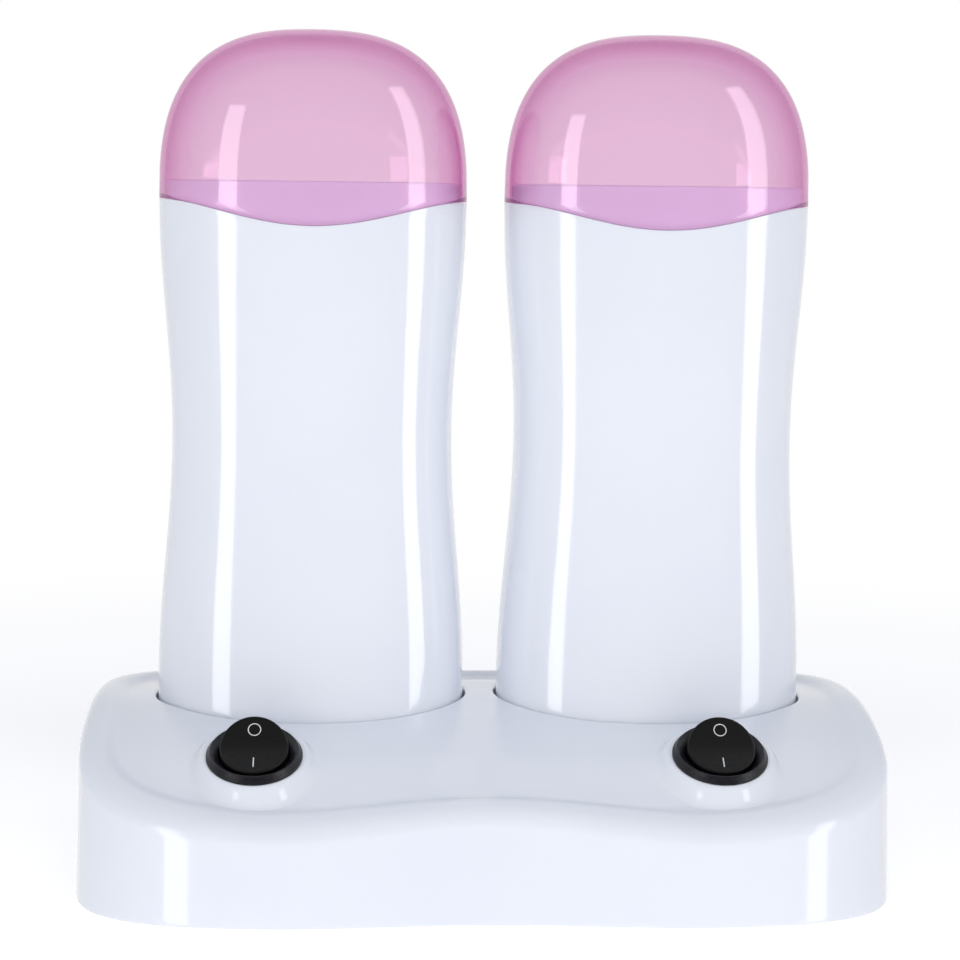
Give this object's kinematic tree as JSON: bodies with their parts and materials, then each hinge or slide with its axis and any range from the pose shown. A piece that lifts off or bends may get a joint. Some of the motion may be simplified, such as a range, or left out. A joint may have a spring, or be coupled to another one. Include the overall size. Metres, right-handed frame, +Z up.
{
  "type": "roll on wax heater",
  "caption": "Twin roll-on wax heater: two oval handsets with clear lift-off caps stand in a shared mains base station with round rocker switches.",
  "frame": {"origin": "on the table, under the middle of the overall box", "axes": "+Z up, +X to the right seen from the front, front towards -Y"},
  "size_m": [0.1986, 0.1048, 0.21],
  "materials": {
    "white_plastic": "gloss",
    "pink_clear": "clear gloss",
    "switch_black": "satin",
    "black_plastic": "matte",
    "foot_rubber": "matte",
    "zinc_steel": "satin",
    "contact_brass": "satin",
    "sleeve_aluminium": "satin",
    "heater_ceramic": "matte"
  },
  "bodies": {
    "base": {"base_shell": "white_plastic", "base_cover": "white_plastic", "cover_screws": "zinc_steel", "rubber_feet": "foot_rubber", "power_inlet": "black_plastic", "power_inlet_pins": "contact_brass", "left_dock_plug": "black_plastic", "left_dock_contacts": "contact_brass", "left_switch_body": "switch_black", "left_switch_terminals": "contact_brass", "right_dock_plug": "black_plastic", "right_dock_contacts": "contact_brass", "right_switch_body": "switch_black", "right_switch_terminals": "contact_brass"},
    "left_handset": {"left_handset_shell": "white_plastic", "left_chamber": "white_plastic", "left_heat_sleeve": "sleeve_aluminium", "left_ptc_heater": "heater_ceramic", "left_heater_clip": "zinc_steel", "left_thermostat": "black_plastic", "left_bottom_cap": "white_plastic", "left_bottom_screws": "zinc_steel", "left_handset_inlet": "black_plastic", "left_handset_pins": "contact_brass"},
    "left_lid": {"left_cap": "pink_clear"},
    "left_button": {"left_rocker": "switch_black"},
    "right_handset": {"right_handset_shell": "white_plastic", "right_chamber": "white_plastic", "right_heat_sleeve": "sleeve_aluminium", "right_ptc_heater": "heater_ceramic", "right_heater_clip": "zinc_steel", "right_thermostat": "black_plastic", "right_bottom_cap": "white_plastic", "right_bottom_screws": "zinc_steel", "right_handset_inlet": "black_plastic", "right_handset_pins": "contact_brass"},
    "right_lid": {"right_cap": "pink_clear"},
    "right_button": {"right_rocker": "switch_black"}
  },
  "joints": [
    {"name": "left_handset_lift", "type": "slide", "parent": "base", "child": "left_handset", "axis": [0, 0, 1], "range_m": [0, 0.06]},
    {"name": "left_cap_pull", "type": "slide", "parent": "left_handset", "child": "left_lid", "axis": [0, 0, 1], "range_m": [0, 0.06]},
    {"name": "left_rocker_turn", "type": "hinge", "parent": "base", "child": "left_button", "pos_m": [-0.0557, -0.03145, 0.03754], "axis": [-1, 0, 0], "range_deg": [0, 40]},
    {"name": "right_handset_lift", "type": "slide", "parent": "base", "child": "right_handset", "axis": [0, 0, 1], "range_m": [0, 0.06]},
    {"name": "right_cap_pull", "type": "slide", "parent": "right_handset", "child": "right_lid", "axis": [0, 0, 1], "range_m": [0, 0.06]},
    {"name": "right_rocker_turn", "type": "hinge", "parent": "base", "child": "right_button", "pos_m": [0.0557, -0.03145, 0.03754], "axis": [-1, 0, 0], "range_deg": [0, 40]}
  ]
}
